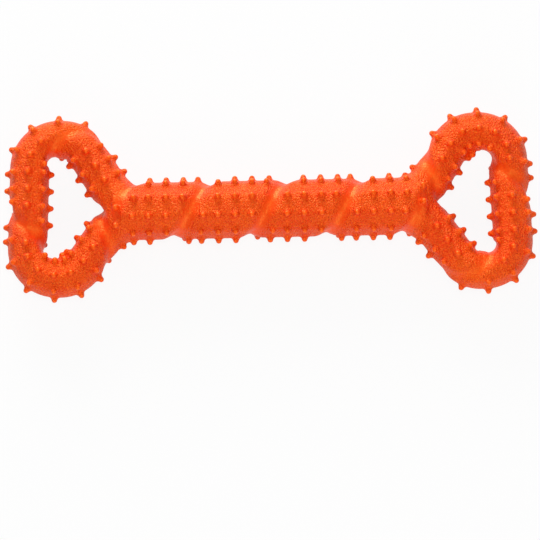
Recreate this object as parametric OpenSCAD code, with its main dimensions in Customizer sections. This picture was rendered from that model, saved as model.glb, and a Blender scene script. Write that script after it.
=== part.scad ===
// A chew toy moulded in one piece of solid rubber. A round bar has a closed three-sided loop at
// each end, nubs stand on it in rows, and a smooth groove winds along the bar and round each loop.
// X runs along the bar, Y across the loops, and Z up from the floor that the toy lies on.

/* [Bar] */
// Length of the bar between the two loop pieces
bar_len = 183.6; // [140:0.2:240]
// Diameter of the bar over its nub rows
bar_d = 41; // [36:0.5:46]
// How far the soft flats between the nub rows lie below them
bar_flat = 0.4; // [0:0.1:0.8]
// How far the bar's rounded end runs on past the point where the arms' axes meet
bar_nose = 8.3; // [5:0.1:10]

/* [Loops] */
// Diameter of the tube that the loops are bent from
tube_d = 28; // [24:0.5:30]
// How far the soft flats between the tube's nub rows lie below them
tube_flat = 0.3; // [0:0.1:0.6]
// Distance from the end of the bar piece to the point where the arms' axes meet
root_in = 12.9; // [11:0.1:15]
// Distance from there to the axis of the end grip
loop_reach = 67.2; // [62:0.2:90]
// Distance from the bar's axis to the axis of a loop's side
loop_rise = 49.8; // [46:0.2:58]
// Length of a side between its two corners
side_len = 34.2; // [32.5:0.1:38]
// Bend radius at the corners beside the end grip
grip_bend_r = 20.8; // [18.5:0.1:21]
// Bend radius at the corners between a side and an arm
arm_bend_r = 20; // [18.5:0.1:21]
// Angle by which each loop leans towards +Y
loop_lean = 2; // [0:0.5:3]
// How far each loop stands towards +Y from the bar's axis
loop_lift = 1.5; // [0:0.1:2]

/* [Nubs] */
// Height of a nub
nub_h = 3.9; // [3:0.1:4.5]
// Diameter of a nub at its foot
nub_d = 5.2; // [4:0.1:5.4]
// Radius of a nub's rounded tip
nub_tip_r = 2; // [1.2:0.1:2.1]
// Least gap between the feet of two nubs
nub_gap = 0.2; // [0.1:0.1:1]
// Distance between nubs along the middle of the bar or tube
nub_pitch = 12.24; // [11.6:0.02:14]
// Number of nub rows around the bar
bar_rows = 10; // [8:2:12]
// Number of nub rows around the tube
tube_rows = 8; // [4:4:8]

/* [Grooves] */
// Width of the groove across its course
groove_w = 17; // [12:0.5:20]
// Depth of the groove
groove_depth = 2.9; // [2:0.1:3.5]
// Length of bar that the groove takes for one turn
groove_pitch = 54.4; // [46:0.2:70]
// A nub nearer than this to the middle of the groove is left out
groove_bare = 6.4; // [5:0.1:8]
// A nub that stays keeps at least this distance from the middle of the groove
groove_clear = 10; // [9:0.1:11]

/* [Hidden] */
function bar_row_name(k) = str("bar_nub_row_", k);
function loop_row_name(side, k) = str(side < 0 ? "left" : "right", "_nub_row_", k);
rubber = [0.93, 0.32, 0.14];

// Fineness of the skins: facets per nub row, and rings per nub pitch
bar_facets_per_row = 4;
tube_facets_per_row = 3;
rings_per_pitch = 3;
nose_slices = 8;
nose_facets = 30;
nose_angle = 80;
nose_disc_h = 0.5;
nose_step = 0.5;
nose_power = 4;
tip_steps = 4;

bar_r = bar_d / 2;
tube_r = tube_d / 2;
ring_step = nub_pitch / rings_per_pitch;
nose_r = bar_r - bar_flat - nose_step;
root_x = bar_len / 2 + root_in;
grip_x = root_x + loop_reach;

// The path of a loop's axis, from the middle of the end grip to the root where the arms meet.
// Each leg is its length, then its bend radius, or 0 where it runs straight.
arm_run = loop_reach - side_len;
arm_turn = atan2(loop_rise, arm_run);
arm_trim = arm_bend_r * tan(arm_turn / 2);
path_legs = [
    [loop_rise - grip_bend_r, 0],
    [grip_bend_r * PI / 2, grip_bend_r],
    [side_len - grip_bend_r - arm_trim, 0],
    [arm_bend_r * arm_turn * PI / 180, arm_bend_r],
    [norm([arm_run, loop_rise]) - arm_trim, 0]
];
path_half = sum_to(path_legs, len(path_legs));

// The groove's course round a loop: its angle in degrees, then its station as a share of the half
// path. It winds like the bar's groove, and crosses the upper face faster than the lower one.
groove_station_shares = [
    [-450, 0.95], [-270, 0.732], [-90, 0.218], [90, 0.012], [270, -0.353], [450, -0.629], [630, -0.95]
];

// The groove's depth at those angles, as a share of its full depth. It is shallow at the outside
// of the corners beside the arms, and deep at the outside of the grip and at the root.
groove_depth_shares = [
    [-450, 1.6], [-270, 0.65], [-90, 1], [90, 1.2], [270, 1], [450, 0.35], [630, 1.6]
];
groove_turns = 2;
phase_step = 10;

hole_side = -90;

// The last nubs along the bar stay short of the root and of the arms' flanks, and may move a small
// share of the pitch to do so. The last ones on the arms stay clear of the tips of the bar's nubs.
nub_give = 0.15;
steep_turn = arm_turn + loop_lean;
arm_flank = tube_r * sin(steep_turn) - (bar_r - loop_lift - tube_r * cos(steep_turn)) / tan(steep_turn);
bar_bare = max(groove_clear - groove_bare, arm_flank) + nub_d / 2 + nub_gap;
bar_nub_reach = root_x - bar_bare;
last_bar_nub = floor(bar_nub_reach / nub_pitch + nub_give);
arm_bare = (bar_r + nub_h + loop_lift - tube_r * cos(arm_turn)) / sin(arm_turn);
last_arm_nub = floor((path_half - arm_bare) / nub_pitch);

// Two nubs on each face of the bar's rounded end stand between the rows. They are this share of
// the nose's length past the root, and this many row spacings round from the top or the bottom.
root_nub_share = 0.47;
root_nub_turns = [0, 1];

function sum_to(legs, n) = n == 0 ? 0 : legs[n - 1][0] + sum_to(legs, n - 1);

// A pose on the path is x, y and the heading. This moves a pose on along one leg.
function advance(pose, run, bend_r) =
    let (h = pose[2], h2 = bend_r == 0 ? h : h + run / bend_r * 180 / PI)
    bend_r == 0
        ? [pose[0] + run * cos(h), pose[1] + run * sin(h), h]
        : [pose[0] + bend_r * (sin(h2) - sin(h)), pose[1] - bend_r * (cos(h2) - cos(h)), h2];

function walk(run, leg = 0, pose = [grip_x, 0, 90]) =
    run <= path_legs[leg][0] || leg == len(path_legs) - 1
        ? advance(pose, run, path_legs[leg][1])
        : walk(run - path_legs[leg][0], leg + 1, advance(pose, path_legs[leg][0], path_legs[leg][1]));

// The pose at a station, which is counted from the middle of the end grip and is negative at -Y
function pose_at(station) =
    let (p = walk(abs(station)))
    station < 0 ? [p[0], -p[1], 180 - p[2]] : p;

function bend_at(station, leg = 0) =
    station <= path_legs[leg][0] || leg == len(path_legs) - 1
        ? path_legs[leg][1]
        : bend_at(station - path_legs[leg][0], leg + 1);

// How much longer the surface at this angle is than the axis, where the path bends
function stretch(station, angle) =
    let (bend_r = bend_at(abs(station)))
    bend_r == 0 ? 1 : 1 + tube_r * sin(angle) / bend_r;

function groove_cut(gap) = abs(gap) < groove_w / 2 ? groove_depth * (1 + cos(360 * gap / groove_w)) / 2 : 0;

// Signed distance from the middle of the bar's groove, across its course. Angles on the bar go
// from +Z towards +Y.
bar_slant = cos(atan(groove_pitch / (PI * bar_d)));
function bar_gap_x(x, angle) =
    let (d = x - groove_pitch * angle / 360)
    d - groove_pitch * round(d / groove_pitch);
function bar_surface(x, angle) =
    bar_r - bar_flat * (1 + cos(bar_rows * angle)) / 2 - groove_cut(bar_gap_x(x, angle) * bar_slant);

// The same for a loop, where angles go from +Z towards the outside of the loop
function groove_at(phase) = path_half * lookup(phase, groove_station_shares);
first_phase = groove_station_shares[0][0];
last_phase = groove_station_shares[len(groove_station_shares) - 1][0];
function slant(phase) =
    let (along = groove_at(phase + phase_step) - groove_at(phase - phase_step))
    cos(atan(along / (2 * phase_step * PI / 180 * tube_r)));
function nearest(gaps) = gaps[search(min([for (g = gaps) abs(g)]), [for (g = gaps) abs(g)])[0]];
function groove_miss(station, angle, phase) =
    (station - groove_at(phase)) * slant(phase) * stretch(station, angle);
function tube_gap(station, angle) =
    nearest([
        for (k = [-groove_turns : groove_turns])
            let (phase = angle + 360 * k)
            if (phase >= first_phase && phase <= last_phase)
                groove_miss(station, angle, phase)
    ]);
function tube_cut(station, angle) =
    max([
        for (k = [-groove_turns : groove_turns])
            let (phase = angle + 360 * k)
            if (phase >= first_phase && phase <= last_phase)
                lookup(phase, groove_depth_shares) * groove_cut(groove_miss(station, angle, phase))
    ]);
function tube_surface(station, angle) =
    tube_r - tube_flat * (1 - cos(tube_rows * angle)) / 2 - tube_cut(station, angle);

// A nub's place along its row, moved clear of the groove if it stands close to it
function moved(place, gap, ratio) =
    place + (abs(gap) < groove_clear ? sign(gap) * (groove_clear - abs(gap)) * ratio : 0);

// Places of the nubs in a row of the bar, and the row's angle
function bar_row_angle(k) = (k - 0.5) * 360 / bar_rows;
function bar_row(k) = [
    for (j = [-last_bar_nub : last_bar_nub])
        let (
            x = max(-bar_nub_reach, min(bar_nub_reach, j * nub_pitch)),
            gap = bar_gap_x(x, bar_row_angle(k))
        )
        if (abs(gap) > groove_bare)
            moved(x, gap, 1)
];

// Stations of the nubs in a row of a loop, and the row's angle. Row 1 faces the hole. Where a
// bend crowds a row, a nub with no room beside the last one is left out.
function tube_row_angle(k) = hole_side + (k - 1) * 360 / tube_rows;
function tube_row(k) = roomy(k, [
    for (j = [-last_arm_nub : last_arm_nub])
        let (angle = tube_row_angle(k), gap = tube_gap(j * nub_pitch, angle))
        if (abs(gap) > groove_bare)
            moved(j * nub_pitch, gap, 1 / stretch(j * nub_pitch, angle))
]);
function foot(station, angle) =
    let (p = pose_at(station), out = tube_r * sin(angle))
    [p[0] + out * sin(p[2]), p[1] - out * cos(p[2])];
function roomy(k, row, i = 0, kept = []) =
    i == len(row) ? kept :
    let (
        angle = tube_row_angle(k),
        free = len(kept) == 0
            || norm(foot(row[i], angle) - foot(kept[len(kept) - 1], angle)) > nub_d + nub_gap
    )
    roomy(k, row, i + 1, free ? concat(kept, [row[i]]) : kept);

// On the hole side of a bend the skin curves up towards a nub's foot, so the nub sits higher
function nub_seat(station, angle) =
    let (bend_r = bend_at(abs(station)), hollow = -sin(angle))
    tube_r + (bend_r > 0 && hollow > 0
        ? pow(nub_d / 2, 2) * hollow / (2 * (bend_r - tube_r * hollow))
        : 0);

// Where the tips of the loops' nubs reach, which sets the middle of the toy
tip_reach = nub_h - nub_tip_r;
function turned(p, angle) = [p[0] * cos(angle) - p[1] * sin(angle), p[0] * sin(angle) + p[1] * cos(angle)];
function tips(side) = [
    for (k = [1 : tube_rows], station = tube_row(k))
        let (
            angle = tube_row_angle(k),
            p = pose_at(station),
            r = (nub_seat(station, angle) + tip_reach) * sin(angle),
            local = turned([p[0] + r * sin(p[2]) - root_x, p[1] - r * cos(p[2])], side * loop_lean)
        )
        [side * (local[0] + root_x), side * local[1] + loop_lift]
];
all_tips = concat(tips(1), tips(-1));
mid_x = (max([for (t = all_tips) t[0]]) + min([for (t = all_tips) t[0]])) / 2;
mid_y = (max([for (t = all_tips) t[1]]) + min([for (t = all_tips) t[1]])) / 2;
axis_z = (bar_r + tip_reach) * cos(180 / bar_rows) + nub_tip_r;

// The skin over a row of rings that all have as many points. A closed one runs back to its first
// ring, and an open one gets a flat face at each end.
module skin(rings, closed = false) {
    n = len(rings[0]);
    last = len(rings) - 1;
    sides = [
        for (i = [0 : closed ? last : last - 1], j = [0 : n - 1])
            let (j2 = (j + 1) % n, here = i * n, next = (i + 1) % (last + 1) * n)
            each [[here + j, here + j2, next + j2], [here + j, next + j2, next + j]]
    ];
    ends = closed ? [] : [[for (j = [n - 1 : -1 : 0]) j], [for (j = [0 : n - 1]) last * n + j]];
    polyhedron(points = [for (r = rings) each r], faces = concat(sides, ends));
}

function bar_ring(x) =
    let (n = bar_rows * bar_facets_per_row)
    [for (j = [0 : n - 1]) let (a = j * 360 / n, r = bar_surface(x, a)) [x, r * sin(a), r * cos(a)]];

function tube_ring(station) =
    let (n = tube_rows * tube_facets_per_row, p = pose_at(station))
    [
        for (j = [0 : n - 1])
            let (a = -j * 360 / n, r = tube_surface(station, a), out = r * sin(a))
            [p[0] + out * sin(p[2]), p[1] - out * cos(p[2]), r * cos(a)]
    ];

// The section where the two arms meet: the arm's skin, followed along the arm onto the plane
// between them
mitre_ring =
    let (n = tube_rows * tube_facets_per_row, p = pose_at(path_half))
    [
        for (j = [0 : n - 1])
            let (
                a = -j * 360 / n,
                r = tube_surface(path_half + tube_r * sin(a) / tan(arm_turn), a),
                out = r * sin(a)
            )
            [p[0] + out * sin(p[2]) + out * cos(p[2]) / tan(p[2]), 0, r * cos(a)]
    ];
mitre_run = tube_r / tan(arm_turn) + ring_step / 2;

// Evenly spaced places from one end to the other, about a ring step apart
function places(from, to) =
    let (n = max(1, round(abs(to - from) / ring_step)))
    [for (i = [0 : n]) from + (to - from) * i / n];

// A nub stands on the XY plane. Its side is tangent to its rounded tip.
module nub() {
    foot_r = nub_d / 2;
    centre_z = nub_h - nub_tip_r;
    side_angle = asin(nub_tip_r / norm([foot_r, centre_z])) - atan2(foot_r, centre_z) + 90;
    arc_from = 90 - side_angle;
    rotate_extrude($fn = 24)
        polygon(concat(
            [[0, 0], [foot_r, 0]],
            [
                for (i = [0 : tip_steps])
                    let (a = arc_from + (90 - arc_from) * i / tip_steps)
                    [i == tip_steps ? 0 : nub_tip_r * cos(a), centre_z + nub_tip_r * sin(a)]
            ]
        ));
}

module bar_nub(x, angle) {
    translate([x, 0, 0])
        rotate([-angle, 0, 0])
            translate([0, 0, bar_r])
                nub();
}

module tube_nub(station, angle) {
    p = pose_at(station);
    translate([p[0], p[1], 0])
        rotate([0, 0, p[2] - 90])
            rotate([0, angle, 0])
                translate([0, 0, nub_seat(station, angle)])
                    nub();
}

// Leans a loop about its root and lifts it, towards +Y on the side where it stands
module leaned(side) {
    translate([root_x, side * loop_lift, 0])
        rotate([0, 0, side * loop_lean])
            translate([-root_x, 0, 0])
                children();
}

// Turns what is drawn for the right end to the end on this side
module at_end(side) {
    rotate([0, 0, side > 0 ? 0 : 180])
        children();
}

// Moves the toy from the bar's axis to its place above the floor
module seated() {
    translate([-mid_x, -mid_y, axis_z])
        children();
}

// The bar's end inside a loop piece, up to its rounded nose
module bar_end() {
    skin([for (x = places(bar_len / 2, root_x)) bar_ring(x)]);
    for (i = [0 : nose_slices - 1])
        hull() {
            nose_disc(i);
            nose_disc(i + 1);
        }
}

module nose_disc(i) {
    a = nose_angle * i / nose_slices;
    translate([root_x + bar_nose * pow(sin(a), 2 / nose_power) - nose_disc_h, 0, 0])
        rotate([0, 90, 0])
            cylinder(h = nose_disc_h, r = nose_r * pow(cos(a), 2 / nose_power), $fn = nose_facets);
}

module loop_piece(side) {
    at_end(side) {
        bar_end();
        difference() {
            leaned(side)
                skin(concat(
                    [for (s = places(mitre_run - path_half, path_half - mitre_run)) tube_ring(s)],
                    [mitre_ring]
                ), closed = true);
            // The arms' mitre stops inside the bar's end, short of the bar piece
            translate([bar_len / 2 + ring_step / 2 - bar_d, -bar_r, -bar_r])
                cube(bar_d);
        }
    }
}

// A nub on the bar's rounded end, square to its surface, or to the arm's where that stands higher.
// Its angle goes from the top towards +Y, and face is 1 for the upper side and -1 for the lower one.
module root_nub(angle, face) {
    past = bar_nose * root_nub_share;
    flat_share = 1 - pow(root_nub_share, nose_power);
    slope = nose_r / bar_nose * pow(root_nub_share, nose_power - 1) * pow(flat_share, 1 / nose_power - 1);
    seat = nose_r * pow(flat_share, 1 / nose_power);
    aside = seat * sin(angle);
    off_axis = past * sin(arm_turn) - aside * cos(arm_turn);
    arm_z = sqrt(max(0, pow(tube_r, 2) - pow(off_axis, 2)));
    rotate([face > 0 ? 0 : 180, 0, 0])
        if (seat * cos(angle) > arm_z)
            rotate([-angle * face, 0, 0])
                translate([root_x + past, 0, seat])
                    rotate([0, atan(slope), 0])
                        nub();
        else
            translate([root_x + past, aside * face, 0])
                rotate([0, 0, face * (arm_turn - 90)])
                    translate([-off_axis, 0, 0])
                        rotate([0, asin(off_axis / tube_r), 0])
                            translate([0, 0, tube_r])
                                nub();
}

module centre_bar() {
    color(rubber)
        seated()
            skin([for (x = places(-bar_len / 2, bar_len / 2)) bar_ring(x)]);
}

module left_loop() {
    color(rubber)
        seated()
            loop_piece(-1);
}

module right_loop() {
    color(rubber)
        seated()
            loop_piece(1);
}

module bar_nub_row(k) {
    color(rubber)
        seated()
            for (x = bar_row(k))
                bar_nub(x, bar_row_angle(k));
}

module loop_nub_row(side, k) {
    color(rubber)
        seated()
            at_end(side)
                leaned(side)
                    for (station = tube_row(k))
                        tube_nub(station, tube_row_angle(k));
}

module root_nubs(side) {
    color(rubber)
        seated()
            at_end(side)
                for (turns = root_nub_turns, face = [1, -1])
                    root_nub(turns * 360 / bar_rows, face);
}

centre_bar();
left_loop();
right_loop();
root_nubs(-1);  // left_root_nubs
root_nubs(1);  // right_root_nubs
for (k = [1 : bar_rows])
    bar_nub_row(k);
for (side = [-1, 1], k = [1 : tube_rows])
    loop_nub_row(side, k);
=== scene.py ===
import math
import time

import bmesh
import bpy
import numpy as np
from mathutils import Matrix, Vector


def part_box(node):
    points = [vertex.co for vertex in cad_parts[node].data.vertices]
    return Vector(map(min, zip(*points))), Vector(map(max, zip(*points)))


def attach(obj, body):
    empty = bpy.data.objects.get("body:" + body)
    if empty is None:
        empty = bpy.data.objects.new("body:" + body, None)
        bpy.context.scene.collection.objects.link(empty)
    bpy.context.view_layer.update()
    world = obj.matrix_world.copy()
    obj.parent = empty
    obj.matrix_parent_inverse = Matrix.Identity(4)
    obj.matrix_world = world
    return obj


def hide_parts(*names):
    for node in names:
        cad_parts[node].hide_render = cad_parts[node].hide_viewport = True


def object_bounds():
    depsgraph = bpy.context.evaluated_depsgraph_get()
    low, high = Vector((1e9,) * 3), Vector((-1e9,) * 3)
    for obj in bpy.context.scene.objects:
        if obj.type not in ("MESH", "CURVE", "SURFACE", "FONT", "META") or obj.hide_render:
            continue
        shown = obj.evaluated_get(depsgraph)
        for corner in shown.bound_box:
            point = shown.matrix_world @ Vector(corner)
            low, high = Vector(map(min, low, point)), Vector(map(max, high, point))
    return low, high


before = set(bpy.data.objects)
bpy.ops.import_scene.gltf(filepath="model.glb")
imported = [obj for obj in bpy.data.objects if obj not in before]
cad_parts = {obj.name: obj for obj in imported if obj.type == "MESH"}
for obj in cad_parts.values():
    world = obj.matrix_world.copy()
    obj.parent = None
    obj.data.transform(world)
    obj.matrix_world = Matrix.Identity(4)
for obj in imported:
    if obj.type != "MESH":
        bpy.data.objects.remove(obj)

startTime = time.time()
loadedBox = [list(corner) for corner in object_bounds()]
scene = bpy.context.scene


def stage(words):
    print("[chew toy] " + words + ", " + str(round(time.time() - startTime, 1)) + " s")


# The toy's sizes are in millimetres and its angles in degrees, as in the part's source. Angles
# round the bar go from +Z towards +Y, and round a loop's tube from +Z towards the loop's outside.
bar = dict(
    length=183.6, radius=20.5, flat=0.4, rows=10,
    nose=8.3, nosePower=4,  # the bar's rounded end beyond the root
    noseStep=0.5, noseStepRate=3,  # how far the nose steps in, over a third of its length
    leastSteepness=0.3,
)
loop = dict(
    radius=14, flat=0.3, rows=8, firstRow=-90,
    rootIn=12.9,  # from the end of the bar to the root, where the axes of the arms meet
    reach=67.2,  # from the root to the axis of the end grip
    rise=49.8,  # from the bar's axis to the axis of a side
    sideLength=34.2,  # between a side's two corners
    gripBend=20.8, armBend=20,
    lean=2, lift=1.5,  # towards +Y
)
halfBar = bar["length"] / 2
rootX = halfBar + loop["rootIn"]

# The frame shows where the bar's axis lies, in metres
barLow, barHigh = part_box("centre_bar")
barMiddle = (barLow + barHigh) / 2
mmPerMetre = 1000


# The path of a loop's axis, from the middle of the end grip to the root. Each leg is its length
# and its bend radius, or 0 where it runs straight.
armRun = loop["reach"] - loop["sideLength"]
armTurn = math.atan2(loop["rise"], armRun)
armTrim = loop["armBend"] * math.tan(armTurn / 2)
pathLegs = [
    (loop["rise"] - loop["gripBend"], 0),
    (loop["gripBend"] * math.pi / 2, loop["gripBend"]),
    (loop["sideLength"] - loop["gripBend"] - armTrim, 0),
    (loop["armBend"] * armTurn, loop["armBend"]),
    (math.hypot(armRun, loop["rise"]) - armTrim, 0),
]
pathHalf = sum(run for run, bend in pathLegs)


def advance(pose, run, bend):
    x, y, heading = pose
    if bend == 0:
        return (x + run * math.cos(heading), y + run * math.sin(heading), heading)
    turned = heading + run / bend
    return (
        x + bend * (math.sin(turned) - math.sin(heading)),
        y - bend * (math.cos(turned) - math.cos(heading)),
        turned,
    )


legStarts = [(0, (rootX + loop["reach"], 0, math.pi / 2))]
for run, bend in pathLegs[:-1]:
    station, pose = legStarts[-1]
    legStarts.append((station + run, advance(pose, run, bend)))


# Stations count along the path from the middle of the end grip, and are below zero on the -Y half
def legAt(station):
    for leg in range(len(pathLegs) - 1):
        if abs(station) <= legStarts[leg + 1][0]:
            return leg
    return len(pathLegs) - 1


def poseAt(station):
    leg = legAt(station)
    start, pose = legStarts[leg]
    x, y, heading = advance(pose, abs(station) - start, pathLegs[leg][1])
    return (x, -y, math.pi - heading) if station < 0 else (x, y, heading)


# A smooth groove winds along the bar and round each loop
groove = dict(
    width=17, depth=2.9, barPitch=54.4,
    # angles round the tube, then the groove's place there as a share of the half path, and its
    # depth there as a share of the full depth
    loopAngles=(-450, -270, -90, 90, 270, 450, 630),
    loopShares=(0.95, 0.732, 0.218, 0.012, -0.353, -0.629, -0.95),
    loopDepths=(1.6, 0.65, 1, 1.2, 1, 0.35, 1.6),
    turns=2, slantStep=10,
    fade=30,  # the angle over which the groove runs out beyond its ends
    drawStep=2, cornerEase=30, cornerSamples=13, bendEase=6,
)
firstPhase, lastPhase = groove["loopAngles"][0], groove["loopAngles"][-1]
fullTurns = [360 * turn for turn in range(-groove["turns"], groove["turns"] + 1)]


def grooveCut(gap):
    cut = groove["depth"] * (1 + np.cos(2 * np.pi * gap / groove["width"])) / 2
    return np.where(np.abs(gap) < groove["width"] / 2, cut, 0)


# A distance along the bar from the middle of its groove, times this, is the distance across it
barSlant = math.cos(math.atan(groove["barPitch"] / (2 * math.pi * bar["radius"])))


def barGapAlong(x, angle):
    offset = x - groove["barPitch"] * angle / 360
    return offset - groove["barPitch"] * np.round(offset / groove["barPitch"])


def barSurface(x, angle):
    ridge = bar["flat"] * (1 + np.cos(np.radians(bar["rows"] * angle))) / 2
    cut = grooveCut(barGapAlong(x, angle) * barSlant)
    return bar["radius"] - ridge - cut, cut


def grooveStation(phase):
    return pathHalf * np.interp(phase, groove["loopAngles"], groove["loopShares"])


def loopGap(station, angle, stretch):
    # the distance across the groove from its middle, which sets where the nubs stand
    step = groove["slantStep"]
    nearest = math.inf
    for turn in fullTurns:
        phase = angle + turn
        rise = grooveStation(phase + step) - grooveStation(phase - step)
        slant = math.cos(math.atan(rise / (math.radians(2 * step) * loop["radius"])))
        gap = (station - grooveStation(phase)) * slant * stretch
        if firstPhase <= phase <= lastPhase and abs(gap) < abs(nearest):
            nearest = gap
    return nearest


# Where the skin is drawn, the course eases round its corners and the bends ease in and out
courseEnd = groove["fade"] + groove["slantStep"]
coursePhase = np.arange(firstPhase - courseEnd, lastPhase + courseEnd + 1, groove["drawStep"], float)
courseSteps = np.linspace(-groove["cornerEase"], groove["cornerEase"], groove["cornerSamples"])
courseStation = sum(grooveStation(coursePhase + step) for step in courseSteps) / len(courseSteps)
courseRise = np.gradient(courseStation, np.radians(coursePhase))
courseSlant = np.cos(np.arctan(courseRise / loop["radius"]))
courseIn = np.clip((coursePhase - firstPhase) / groove["fade"] + 1, 0, 1)
courseOut = np.clip((lastPhase - coursePhase) / groove["fade"] + 1, 0, 1)
fullDepth = np.interp(coursePhase, groove["loopAngles"], groove["loopDepths"])
courseDepth = fullDepth * courseIn * courseOut


def loopCut(station, angle, stretch):
    deepest = 0
    for turn in fullTurns:
        phase = angle + turn
        gap = (station - np.interp(phase, coursePhase, courseStation)) * stretch
        gap = gap * np.interp(phase, coursePhase, courseSlant)
        depth = np.interp(phase, coursePhase, courseDepth, left=0, right=0)
        deepest = np.maximum(deepest, depth * grooveCut(gap))
    return deepest


def loopSurface(station, angle, stretch):
    ridge = loop["flat"] * (1 - np.cos(np.radians(loop["rows"] * angle))) / 2
    cut = loopCut(station, angle, stretch)
    return loop["radius"] - ridge - cut, cut


legEnds = np.array([start for start, pose in legStarts] + [pathHalf])
legHeadings = np.array([pose[2] for start, pose in legStarts] + [legStarts[-1][1][2]])


def bendAt(station):
    # how fast the path turns, eased where a bend starts and ends
    ease = groove["bendEase"]
    ahead = np.interp(np.abs(station) + ease, legEnds, legHeadings)
    behind = np.interp(np.abs(station) - ease, legEnds, legHeadings)
    return (ahead - behind) / (2 * ease)


# Distances to the rubber's skin, below zero inside it, and how deep the groove is there. Where
# two forms meet, the skin runs softly from one to the other over these widths.
blend = dict(
    crotch=2, crotchReach=40, crotchFade=12,  # between the arms, and where it fades out
    barToArm=8.5, insideHole=1.5, holeFrom=-1, holeFade=8,  # and where one becomes the other
    nubFoot=1.8, least=1e-3,
    loopsFrom=25,  # the loops count from this far inside the ends of the bar
)
tiny = 1e-6


def softUnion(a, b, width):
    overlap = np.maximum(width - np.abs(a - b), 0)
    return np.minimum(a, b) - overlap * overlap / (4 * width)


def barField(x, y, z):
    angle = np.degrees(np.arctan2(y, z))
    rho = np.hypot(y, z)
    surface, cut = barSurface(x, angle)
    power = bar["nosePower"]
    past = np.maximum(np.abs(x) - rootX, 0) / bar["nose"]
    endRadius = surface - bar["noseStep"] * np.minimum(past * bar["noseStepRate"], 1)
    out = rho / endRadius
    # a point's place on the rounded end, which the steepness there turns into a distance
    size = np.maximum((past ** power + out ** power) ** (1 / power), tiny)
    steepAlong = (past / size) ** (power - 1) * endRadius / bar["nose"]
    steepness = np.hypot(steepAlong, (out / size) ** (power - 1))
    nose = (size - 1) * endRadius / np.maximum(steepness, bar["leastSteepness"])
    return np.where(past > 0, nose, rho - surface), cut


def halfLoopField(x, y, z, half):
    y = y * half
    best = np.full(x.shape, np.inf)
    station = np.zeros(x.shape)
    across = np.zeros(x.shape)
    beyond = np.zeros(x.shape)
    for (run, bend), (start, (x0, y0, heading)) in zip(pathLegs, legStarts):
        c, s = math.cos(heading), math.sin(heading)
        if bend == 0:
            along = (x - x0) * c + (y - y0) * s
            out = (x - x0) * s - (y - y0) * c
        else:
            fromX, fromY = x - (x0 - bend * s), y - (y0 + bend * c)
            out = np.hypot(fromX, fromY) - bend
            swing = np.arctan2(fromY, fromX) + math.pi / 2 - heading
            along = bend * ((swing + math.pi) % (2 * math.pi) - math.pi)
        over = along - np.clip(along, 0, run)
        far = out * out + over * over
        nearer = far < best
        best = np.where(nearer, far, best)
        station = np.where(nearer, start + np.clip(along, 0, run), station)
        across = np.where(nearer, out, across)
        beyond = np.where(nearer, over, beyond)
    angle = np.degrees(np.arctan2(across, z))
    rho = np.sqrt(across * across + z * z + beyond * beyond)
    outward = across / np.maximum(np.hypot(across, z), tiny)
    stretch = 1 + loop["radius"] * outward * bendAt(station)
    surface, cut = loopSurface(station * half, angle, stretch)
    return rho - surface, cut


def leaned(x, y, angle):
    c, s = math.cos(math.radians(angle)), math.sin(math.radians(angle))
    return rootX + (x - rootX) * c - y * s, (x - rootX) * s + y * c


def loopField(x, y, z, side):
    # the left loop is the right one turned half round, but both lean and lift towards +Y
    lx, ly = leaned(x * side, (y - loop["lift"]) * side, -side * loop["lean"])
    upper, upperCut = halfLoopField(lx, ly, z, 1)
    lower, lowerCut = halfLoopField(lx, ly, z, -1)
    nearRoot = np.clip((rootX + blend["crotchReach"] - lx) / blend["crotchFade"], 0, 1)
    width = blend["crotch"] * nearRoot + blend["least"]
    return softUnion(upper, lower, width), np.where(upper < lower, upperCut, lowerCut)


def bodyField(x, y, z):
    distance, cut = barField(x, y, z)
    for side in (-1, 1):
        near = x * side > halfBar - blend["loopsFrom"]
        if near.any():
            at = [v[near] for v in (x, y, z)]
            inHole = np.clip((at[0] * side - rootX - blend["holeFrom"]) / blend["holeFade"], 0, 1)
            width = blend["barToArm"] * (1 - inHole) + blend["insideHole"] * inHole
            tube, tubeCut = loopField(*at, side)
            cut[near] = np.where(distance[near] < tube, cut[near], tubeCut)
            distance[near] = softUnion(distance[near], tube, width)
    return distance, cut


# Rows of nubs, each a cone with a round tip, which leave bare bands along the grooves
nub = dict(
    height=3.9, footRadius=2.6, tipRadius=2,
    pitch=12.24, gap=0.2, give=0.15,
    bare=6.4,  # a nub nearer than this to the middle of the groove is left out
    clear=10,  # and one that stays is moved at least this far from it
    endShare=0.47,  # how far out on the nose the nubs at the bar's ends stand
)

# The last nubs along the bar stay short of the root and of the arms' flanks, and the last ones on
# the arms stay clear of the tips of the bar's nubs
steepTurn = armTurn + math.radians(loop["lean"])
overArm = bar["radius"] - loop["lift"] - loop["radius"] * math.cos(steepTurn)
armFlank = loop["radius"] * math.sin(steepTurn) - overArm / math.tan(steepTurn)
barBare = max(nub["clear"] - nub["bare"], armFlank) + nub["footRadius"] + nub["gap"]
barNubReach = rootX - barBare
lastBarNub = math.floor(barNubReach / nub["pitch"] + nub["give"])
overTips = bar["radius"] + nub["height"] + loop["lift"] - loop["radius"] * math.cos(armTurn)
lastLoopNub = math.floor((pathHalf - overTips / math.sin(armTurn)) / nub["pitch"])

# The cone leans in by this angle, so that it runs into its tip without an edge
nubSpan = nub["height"] - nub["tipRadius"]
nubLean = math.acos(nub["tipRadius"] / math.hypot(nub["footRadius"], nubSpan))
nubLean -= math.atan2(nubSpan, nub["footRadius"])


def movedClear(place, gap, ratio):
    if abs(gap) >= nub["clear"]:
        return place
    return place + math.copysign(nub["clear"] - abs(gap), gap) * ratio


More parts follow.
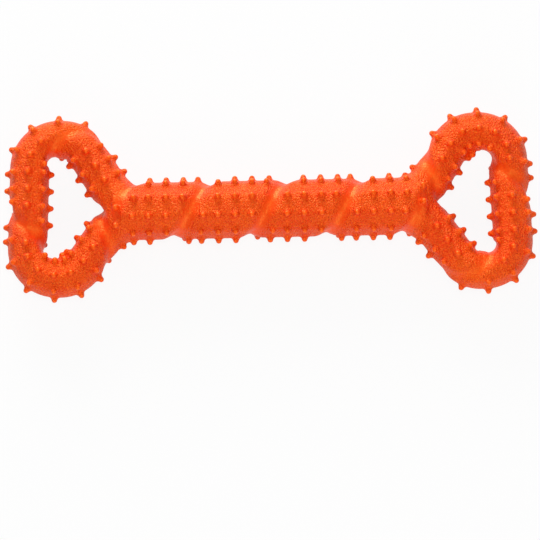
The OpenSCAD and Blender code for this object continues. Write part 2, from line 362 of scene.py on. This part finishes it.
# Each of these lists the middle of every foot and the way the nub points
def barNubs():
    places = []
    for row in range(bar["rows"]):
        angle = (row + 0.5) * 360 / bar["rows"]
        a = math.radians(angle)
        out = Vector((0, math.sin(a), math.cos(a)))
        for n in range(-lastBarNub, lastBarNub + 1):
            x = max(-barNubReach, min(barNubReach, n * nub["pitch"]))
            gap = float(barGapAlong(x, angle))
            if abs(gap) > nub["bare"]:
                x = movedClear(x, gap, 1)
                places.append((Vector((x, 0, 0)) + out * bar["radius"], out))
    return places


def endNubs(side):
    # at the top and the bottom of the nose, and one row's turn from each
    places = []
    share, power = nub["endShare"], bar["nosePower"]
    endRadius = bar["radius"] - bar["flat"] - bar["noseStep"]
    flat = 1 - share ** power
    tilt = math.atan(endRadius / bar["nose"] * share ** (power - 1) * flat ** (1 / power - 1))
    rowTurn = 360 / bar["rows"]
    for angle in (0, rowTurn, 180 - rowTurn, 180):
        a = math.radians(angle)
        up = Vector((0, math.sin(a), math.cos(a)))
        foot = Vector((rootX + bar["nose"] * share, 0, 0)) + up * endRadius * flat ** (1 / power)
        out = Vector((math.sin(tilt), 0, 0)) + up * math.cos(tilt)
        places.append(tuple(Vector((v.x * side, v.y * side, v.z)) for v in (foot, out)))
    return places


def loopNubs(side):
    places = []
    for row in range(loop["rows"]):
        angle = loop["firstRow"] + row * 360 / loop["rows"]
        aside, up = math.sin(math.radians(angle)), math.cos(math.radians(angle))
        lastFoot = None
        for n in range(-lastLoopNub, lastLoopNub + 1):
            station = n * nub["pitch"]
            bend = pathLegs[legAt(station)][1]
            stretch = 1 + loop["radius"] * aside / bend if bend else 1
            gap = loopGap(station, angle, stretch)
            if abs(gap) <= nub["bare"]:
                continue
            station = movedClear(station, gap, 1 / stretch)
            x, y, heading = poseAt(station)
            out = Vector((aside * math.sin(heading), -aside * math.cos(heading), up))
            foot = Vector((x, y, 0)) + out * loop["radius"]
            if lastFoot and (foot - lastFoot).length <= 2 * nub["footRadius"] + nub["gap"]:
                continue
            lastFoot = foot
            # on the hole side of a bend the skin curves up to the foot, so the nub sits higher
            bend = pathLegs[legAt(station)][1]
            seat = loop["radius"]
            if bend and aside < 0:
                seat -= nub["footRadius"] ** 2 * aside / (2 * (bend + loop["radius"] * aside))
            foot = Vector((x, y, 0)) + out * seat
            tip = foot + out
            fx, fy = leaned(foot.x, foot.y, side * loop["lean"])
            tx, ty = leaned(tip.x, tip.y, side * loop["lean"])
            place = Vector((fx * side, fy * side + loop["lift"], foot.z))
            places.append((place, Vector((tx * side, ty * side + loop["lift"], tip.z)) - place))
    return places


def nubDistance(points, foot, out):
    rise, slope = math.cos(nubLean), math.sin(nubLean)
    lowRadius = nub["footRadius"] * rise
    fromFoot = points - np.array(foot)
    up = fromFoot @ np.array(out)
    aside = np.sqrt(np.maximum((fromFoot ** 2).sum(-1) - up * up, 0))
    along = up * rise - aside * slope
    flank = aside * rise + up * slope - lowRadius
    base = np.hypot(aside, up) - lowRadius
    tip = np.hypot(aside, up - nubSpan) - nub["tipRadius"]
    return np.where(along < 0, base, np.where(along > rise * nubSpan, tip, flank))


# The skin is found on a fine grid round the bar's axis, which is only filled near the surface
grid = dict(
    step=0.64, block=6, batches=40,
    margin=2.5, beyondNubs=2, aroundFoot=3.4,
    slopeReach=0.75, leastSlope=0.2, settleRounds=3,
    pinchRounds=4, justInside=-1e-3,
)


def fillGrid():
    step, block = grid["step"], grid["block"]
    reach = [
        mmPerMetre * max(high - middle, middle - low) + grid["margin"]
        for low, high, middle in zip(*loadedBox, barMiddle)
    ]
    shape = [2 * math.ceil(r / step / block) for r in reach]
    axes = [(np.arange(n * block) - (n * block - 1) / 2) * step for n in shape]
    # the middle of each block comes first, then every point of the blocks near the surface
    centres = np.meshgrid(*[axis.reshape(-1, block).mean(1) for axis in axes], indexing="ij")
    coarse = bodyField(*[centre.ravel() for centre in centres])[0]
    halfDiagonal = block * step * math.sqrt(3) / 2
    near = np.abs(coarse) < halfDiagonal + nub["height"] + grid["beyondNubs"]
    field = coarse.reshape(shape).astype(np.float32)
    for n in range(3):
        field = np.repeat(field, block, n)
    offsets = np.stack(np.meshgrid(*[np.arange(block)] * 3, indexing="ij"), -1).reshape(-1, 3)
    corners = np.stack(np.unravel_index(np.flatnonzero(near), shape), -1) * block
    for batch in np.array_split(corners, grid["batches"]):
        i, j, k = (batch[:, None] + offsets[None]).reshape(-1, 3).T
        field[i, j, k] = bodyField(axes[0][i], axes[1][j], axes[2][k])[0]
    return field, axes


def addNubs(field, axes, places):
    reach = nub["footRadius"] + grid["aroundFoot"]
    for foot, out in places:
        middle = foot + out * nub["height"] / 2
        window = tuple(
            slice(*np.searchsorted(axis, (m - reach, m + reach))) for axis, m in zip(axes, middle)
        )
        near = [axis[part] for axis, part in zip(axes, window)]
        points = np.stack(np.meshgrid(*near, indexing="ij"), -1)
        field[window] = softUnion(field[window], nubDistance(points, foot, out), blend["nubFoot"])


def sample(values, axes, points):
    # the value at each point, from the eight grid points round it
    place = [(points[:, n] - axes[n][0]) / grid["step"] for n in range(3)]
    low = [np.clip(np.floor(p).astype(int), 0, values.shape[n] - 2) for n, p in enumerate(place)]
    share = [p - l for p, l in zip(place, low)]
    total = 0
    for corner in np.ndindex(2, 2, 2):
        weight = 1
        for n in range(3):
            weight = weight * (share[n] if corner[n] else 1 - share[n])
        total = total + weight * values[tuple(l + c for l, c in zip(low, corner))]
    return total


def slopeAt(field, axes, points):
    reach = grid["step"] * grid["slopeReach"]
    rises = [
        sample(field, axes, points + way) - sample(field, axes, points - way)
        for way in np.eye(3) * reach
    ]
    return np.stack(rises, -1) / (2 * reach)


def otherAxes(axis):
    return [n for n in range(3) if n != axis]


def cellPoints(field, axes, inside):
    # one point in each grid cell that the surface crosses
    nx, ny, nz = field.shape
    count = np.zeros((nx - 1, ny - 1, nz - 1), np.int8)
    for a, b, c in np.ndindex(2, 2, 2):
        count += inside[a:nx - 1 + a, b:ny - 1 + b, c:nz - 1 + c]
    cells = np.nonzero((count > 0) & (count < 8))
    number = np.full(count.shape, -1, np.int64)
    number[cells] = np.arange(len(cells[0]))
    total = np.zeros((len(cells[0]), 3))
    hits = np.zeros(len(cells[0]))
    for axis in range(3):
        for shift in np.ndindex(2, 2):
            start = list(cells)
            for n, step in zip(otherAxes(axis), shift):
                start[n] = start[n] + step
            end = list(start)
            end[axis] = end[axis] + 1
            a = field[tuple(start)].astype(float)
            b = field[tuple(end)].astype(float)
            hit = (a < 0) != (b < 0)
            share = np.where(hit, a / np.where(hit, a - b, 1), 0)
            for n in range(3):
                along = share * grid["step"] if n == axis else 0
                total[:, n] += np.where(hit, axes[n][start[n]] + along, 0)
            hits += hit
    return total / hits[:, None], number


def lineFaces(inside, number):
    # one face across each grid line that runs through the surface, with its front outwards
    faces = []
    for axis in range(3):
        b, c = otherAxes(axis)
        at = np.stack(np.nonzero(np.diff(inside, axis=axis)), -1)
        at = at[(at[:, b] > 0) & (at[:, c] > 0)]
        quad = []
        for backB, backC in ((1, 1), (0, 1), (0, 0), (1, 0)):
            cell = at.copy()
            cell[:, b] -= backB
            cell[:, c] -= backC
            quad.append(number[tuple(cell.T)])
        quad = np.stack(quad, -1)
        turned = inside[tuple(at.T)] == (axis == 1)
        quad[turned] = quad[turned][:, ::-1]
        faces.append(quad)
    return np.concatenate(faces)


def skinMesh(field, axes):
    inside = field < 0
    points, number = cellPoints(field, axes, inside)
    for _ in range(grid["settleRounds"]):
        slope = slopeAt(field, axes, points)
        steepness = np.maximum((slope ** 2).sum(-1), grid["leastSlope"])
        points -= slope * (sample(field, axes, points) / steepness)[:, None]
    return points, lineFaces(inside, number)


# Where two opposite corners of a grid square are in the rubber and the other two aren't, the skin
# would touch itself along an edge, so the nearer empty corner is filled
def pinchedCorners(field, inside, b, c):
    def moved(upB, upC):
        window = [slice(None)] * 3
        window[b] = slice(upB, field.shape[b] - 1 + upB)
        window[c] = slice(upC, field.shape[c] - 1 + upC)
        return inside[tuple(window)]

    crossed = (moved(0, 0) == moved(1, 1)) & (moved(0, 1) == moved(1, 0))
    crossed &= moved(0, 0) != moved(0, 1)
    found = []
    for at in np.stack(np.nonzero(crossed), -1):
        square = []
        for upB, upC in np.ndindex(2, 2):
            corner = at.copy()
            corner[b] += upB
            corner[c] += upC
            square.append(tuple(corner))
        empty = [corner for corner in square if not inside[corner]]
        found.append(min(empty, key=lambda corner: field[corner]))
    return found


def closePinches(field):
    filled = 0
    for _ in range(grid["pinchRounds"]):
        inside = field < 0
        found = []
        for axis in range(3):
            found += pinchedCorners(field, inside, *otherAxes(axis))
        for corner in found:
            field[corner] = grid["justInside"]
        filled += len(found)
        if not found:
            break
    return filled


field, axes = fillGrid()
stage("grid of " + " by ".join(str(n) for n in field.shape) + " filled")
allNubs = barNubs() + [place for side in (-1, 1) for place in loopNubs(side) + endNubs(side)]
addNubs(field, axes, allNubs)
stage(str(len(allNubs)) + " nubs added")
stage(str(closePinches(field)) + " pinched corners filled")
skinPoints, skinFaces = skinMesh(field, axes)
stage(str(len(skinFaces)) + " faces on the skin")

# The moulding is cut at the two ends of the bar into pieces that meet face to face
cutting = dict(merge=1e-5, onPlane=1e-3, facing=0.99)


def cutSkin(name, lowX, highX):
    faceX = skinPoints[:, 0][skinFaces]
    chosen = skinFaces[(faceX.max(1) > lowX) & (faceX.min(1) < highX)]
    used, local = np.unique(chosen, return_inverse=True)
    mesh = bpy.data.meshes.new(name)
    mesh.from_pydata(skinPoints[used].tolist(), [], local.reshape(chosen.shape).tolist())
    bm = bmesh.new()
    bm.from_mesh(mesh)
    for x, keepAbove in ((lowX, True), (highX, False)):
        if math.isinf(x):
            continue
        bmesh.ops.bisect_plane(
            bm, geom=bm.verts[:] + bm.edges[:] + bm.faces[:], dist=cutting["merge"],
            plane_co=(x, 0, 0), plane_no=(1, 0, 0),
            clear_inner=keepAbove, clear_outer=not keepAbove,
        )
        rim = [
            edge for edge in bm.edges
            if edge.is_boundary and all(abs(v.co.x - x) < cutting["onPlane"] for v in edge.verts)
        ]
        cap = bmesh.ops.contextual_create(bm, geom=rim)["faces"]
        bmesh.ops.triangulate(bm, faces=cap)
    bmesh.ops.recalc_face_normals(bm, faces=bm.faces[:])
    bm.to_mesh(mesh)
    bm.free()
    return mesh


def meshValues(items, label, width, kind):
    values = np.zeros((len(items), width), kind)
    items.foreach_get(label, values.ravel())
    return values


def cornerNormals(mesh, points, lowX, highX):
    # the slope of the skin everywhere, but the face's own normal on the flat cuts
    slope = slopeAt(field, axes, points)
    slope /= np.linalg.norm(slope, axis=1)[:, None]
    faceNormals = meshValues(mesh.polygons, "normal", 3, float)
    sides = meshValues(mesh.polygons, "loop_total", 1, int)[:, 0]
    cornerPoint = meshValues(mesh.loops, "vertex_index", 1, int)[:, 0]
    cornerFace = np.repeat(np.arange(len(sides)), sides)
    onCut = np.zeros(len(sides), bool)
    for x in (lowX, highX):
        onPlane = np.abs(points[:, 0] - x) < cutting["onPlane"]
        allOn = np.ones(len(sides), bool)
        np.logical_and.at(allOn, cornerFace, onPlane[cornerPoint])
        onCut |= allOn & (np.abs(faceNormals[:, 0]) > cutting["facing"])
    return np.where(onCut[cornerFace][:, None], faceNormals[cornerFace], slope[cornerPoint])


def newPiece(name, lowX, highX, *nodes):
    mesh = cutSkin(name, lowX, highX)
    points = meshValues(mesh.vertices, "co", 3, float)
    normals = cornerNormals(mesh, points, lowX, highX)
    # the rubber's look depends on how deep in a groove and how high on a nub a point is
    over, cut = bodyField(*points.T)
    for label, share in (("inGroove", cut / groove["depth"]), ("onNub", over / nub["height"])):
        shares = mesh.attributes.new(label, "FLOAT", "POINT")
        shares.data.foreach_set("value", share.astype(np.float32))
    placed = points / mmPerMetre + np.array(barMiddle)
    mesh.vertices.foreach_set("co", placed.ravel())
    mesh.update()
    mesh.shade_smooth()
    mesh.normals_split_custom_set(normals.tolist())
    piece = bpy.data.objects.new(name, mesh)
    scene.collection.objects.link(piece)
    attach(piece, "root")
    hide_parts(*nodes)
    stage(name + " made with " + str(len(mesh.polygons)) + " faces")
    return piece


def rowNodes(start, rows):
    return [start + "_nub_row_" + str(n + 1) for n in range(rows)]


centreBar = newPiece("centreBar", -halfBar, halfBar, "centre_bar", *rowNodes("bar", bar["rows"]))
leftLoop = newPiece(
    "leftLoop", -math.inf, -halfBar,
    "left_loop", "left_root_nubs", *rowNodes("left", loop["rows"]),
)
rightLoop = newPiece(
    "rightLoop", halfBar, math.inf,
    "right_loop", "right_root_nubs", *rowNodes("right", loop["rows"]),
)


def mathNode(tree, operation, a, b):
    node = tree.nodes.new("ShaderNodeMath")
    node.operation = operation
    for slot, value in zip(node.inputs, (a, b)):
        if isinstance(value, (int, float)):
            slot.default_value = value
        else:
            tree.links.new(value, slot)
    return node.outputs[0]


# Solid orange rubber with a fine pebbled grain in its colour, gloss and bump. There is less of it
# in the grooves and on the nubs, whose tips are painted paler as a painted highlight. Each range is
# spread out from 0 to 1.
rubber = dict(
    bright=(0.93, 0.064, 0.0015), deep=(0.81, 0.003, 0.0002),
    roughness=0.45, smoothRoughness=0.38, specular=0.85, specularTint=(1, 0.8, 0.13),
    grainScale=850, grainDetail=1, grainRange=(0.3, 0.7), grainHeight=0.00065,
    grainInGroove=0.25, grooveRange=(1, 0.15), nubRange=(1.1, 0.3),
    patchScale=45, patchDetail=3, patchRange=(0.35, 0.65),
    # the nub tone and its range paint a highlight into the colour, paler towards each nub's tip
    tone=0.33, patchTone=0.35, grainTone=0.9, nubHighlightTone=0.55, nubHighlightRange=(0.3, 0.9),
)


def orangeRubber():
    material = bpy.data.materials.new("orangeRubber")
    material.use_nodes = True
    tree = material.node_tree
    nodes, links = tree.nodes, tree.links
    shader = nodes["Principled BSDF"]
    place = nodes.new("ShaderNodeTexCoord").outputs["Object"]

    def noise(scale, detail):
        texture = nodes.new("ShaderNodeTexNoise")
        texture.inputs["Scale"].default_value = scale
        texture.inputs["Detail"].default_value = detail
        links.new(place, texture.inputs["Vector"])
        return texture.outputs["Fac"]

    def shareOf(label):
        attribute = nodes.new("ShaderNodeAttribute")
        attribute.attribute_name = label
        return attribute.outputs["Fac"]

    def spread(value, ends):
        ranged = nodes.new("ShaderNodeMapRange")
        ranged.inputs["From Min"].default_value = ends[0]
        ranged.inputs["From Max"].default_value = ends[1]
        links.new(value, ranged.inputs["Value"])
        return ranged.outputs["Result"]

    inGroove = spread(shareOf("inGroove"), rubber["grooveRange"])
    onNub = spread(shareOf("onNub"), rubber["nubRange"])
    grainShare = mathNode(tree, "MAXIMUM", inGroove, rubber["grainInGroove"])
    grainShare = mathNode(tree, "MULTIPLY", grainShare, onNub)
    pebbles = spread(noise(rubber["grainScale"], rubber["grainDetail"]), rubber["grainRange"])
    bump = nodes.new("ShaderNodeBump")
    bump.inputs["Strength"].default_value = 1
    bump.inputs["Distance"].default_value = rubber["grainHeight"]
    links.new(mathNode(tree, "MULTIPLY", pebbles, grainShare), bump.inputs["Height"])
    links.new(bump.outputs["Normal"], shader.inputs["Normal"])

    patches = spread(noise(rubber["patchScale"], rubber["patchDetail"]), rubber["patchRange"])
    speckle = mathNode(tree, "MULTIPLY", mathNode(tree, "SUBTRACT", pebbles, 0.5), grainShare)
    # painted highlight: the base colour turns paler towards each nub's tip
    nubTipHighlight = spread(shareOf("onNub"), rubber["nubHighlightRange"])
    tone = rubber["tone"]
    for share, weight in ((patches, "patchTone"), (speckle, "grainTone"), (nubTipHighlight, "nubHighlightTone")):
        tone = mathNode(tree, "ADD", mathNode(tree, "MULTIPLY", share, rubber[weight]), tone)
    tint = nodes.new("ShaderNodeMix")
    tint.data_type = "RGBA"  # its colours are inputs 6 and 7 and output 2
    tint.inputs[6].default_value = (*rubber["deep"], 1)
    tint.inputs[7].default_value = (*rubber["bright"], 1)
    links.new(tone, tint.inputs[0])
    links.new(tint.outputs[2], shader.inputs["Base Color"])

    rough = nodes.new("ShaderNodeMapRange")
    rough.inputs["To Min"].default_value = rubber["smoothRoughness"]
    rough.inputs["To Max"].default_value = rubber["roughness"]
    links.new(grainShare, rough.inputs["Value"])
    links.new(rough.outputs["Result"], shader.inputs["Roughness"])
    shader.inputs["Specular IOR Level"].default_value = rubber["specular"]
    shader.inputs["Specular Tint"].default_value = (*rubber["specularTint"], 1)
    return material


rubberMaterial = orangeRubber()
for piece in (centreBar, leftLoop, rightLoop):
    piece.data.materials.append(rubberMaterial)
stage("rubber finished")

# A pale floor under soft studio light, from a wide lamp low behind the toy, a small one over it
# and a weak wide one in front of it
studio = dict(
    floorColour=(0.85, 0.85, 0.85), floorWhite=0.9, floorRoughness=0.9, floorReach=6,
    worldStrength=0.38,
    key=dict(power=34, size=1.1, place=(-0.3, 1.55, 0.4)),
    over=dict(power=9, size=0.35, place=(0.05, -0.1, 1.9)),
    fill=dict(power=9, size=1.2, place=(0.1, -1.3, 0.6)),
)


def mixWhite(tree, lit, white, most, surface):
    # the camera and reflections see this share of white, and all other rays the lit surface
    rays = tree.nodes.new("ShaderNodeLightPath").outputs
    reflected = mathNode(tree, "MAXIMUM", rays["Is Glossy Ray"], rays["Is Transmission Ray"])
    seen = mathNode(tree, "MAXIMUM", rays["Is Camera Ray"], reflected)
    mix = tree.nodes.new("ShaderNodeMixShader")
    tree.links.new(mathNode(tree, "MULTIPLY", seen, most), mix.inputs[0])
    tree.links.new(lit.outputs[0], mix.inputs[1])
    tree.links.new(white.outputs[0], mix.inputs[2])
    tree.links.new(mix.outputs[0], surface)


def paleWorld():
    world = bpy.data.worlds.new("studioWorld")
    world.use_nodes = True
    scene.world = world
    nodes = world.node_tree.nodes
    lit = nodes["Background"]
    lit.inputs["Color"].default_value = (1, 1, 1, 1)
    lit.inputs["Strength"].default_value = studio["worldStrength"]
    white = nodes.new("ShaderNodeBackground")
    white.inputs["Color"].default_value = (1, 1, 1, 1)
    white.inputs["Strength"].default_value = 1
    mixWhite(world.node_tree, lit, white, 1, nodes["World Output"].inputs["Surface"])


def paleFloor():
    far = studio["floorReach"]
    corners = [(-far, -far, 0), (far, -far, 0), (far, far, 0), (-far, far, 0)]
    mesh = bpy.data.meshes.new("studioFloor")
    mesh.from_pydata(corners, [], [(0, 1, 2, 3)])
    floor = bpy.data.objects.new("studioFloor", mesh)
    scene.collection.objects.link(floor)
    material = bpy.data.materials.new("paleFloor")
    material.use_nodes = True
    nodes = material.node_tree.nodes
    shader = nodes["Principled BSDF"]
    shader.inputs["Base Color"].default_value = (*studio["floorColour"], 1)
    shader.inputs["Roughness"].default_value = studio["floorRoughness"]
    white = nodes.new("ShaderNodeEmission")
    white.inputs["Strength"].default_value = 1
    surface = nodes["Material Output"].inputs["Surface"]
    mixWhite(material.node_tree, shader, white, studio["floorWhite"], surface)
    floor.data.materials.append(material)


def softLamp(name, power, size, place):
    light = bpy.data.lights.new(name, "AREA")
    light.energy = power
    light.size = size
    lamp = bpy.data.objects.new(name, light)
    lamp.location = place
    lamp.rotation_euler = (-Vector(place)).to_track_quat("-Z", "Y").to_euler()
    scene.collection.objects.link(lamp)


paleWorld()
paleFloor()
for name in ("key", "over", "fill"):
    softLamp(name + "Lamp", **studio[name])

# The camera looks down on the toy, a little from the front. The lens and the sensor are in
# millimetres, and all else here is in metres and degrees.
view = dict(
    azimuth=-1.2, elevation=82, distance=1.92, aim=(-0.0007, -0.0472, 0.0233),
    lens=180, sensor=36, near=0.05, far=30,
)


def studioCamera():
    data = bpy.data.cameras.new("studioCamera")
    data.lens = view["lens"]
    data.sensor_width = view["sensor"]
    data.clip_start = view["near"]
    data.clip_end = view["far"]
    camera = bpy.data.objects.new("studioCamera", data)
    a, e = math.radians(view["azimuth"]), math.radians(view["elevation"])
    back = Vector((math.sin(a) * math.cos(e), -math.cos(a) * math.cos(e), math.sin(e)))
    camera.location = Vector(view["aim"]) + back * view["distance"]
    camera.rotation_mode = "QUATERNION"
    camera.rotation_quaternion = (-back).to_track_quat("-Z", "Y")
    scene.collection.objects.link(camera)
    scene.camera = camera


studioCamera()
scene.view_settings.view_transform = "Standard"
stage("studio set up")

bpy.context.view_layer.update()
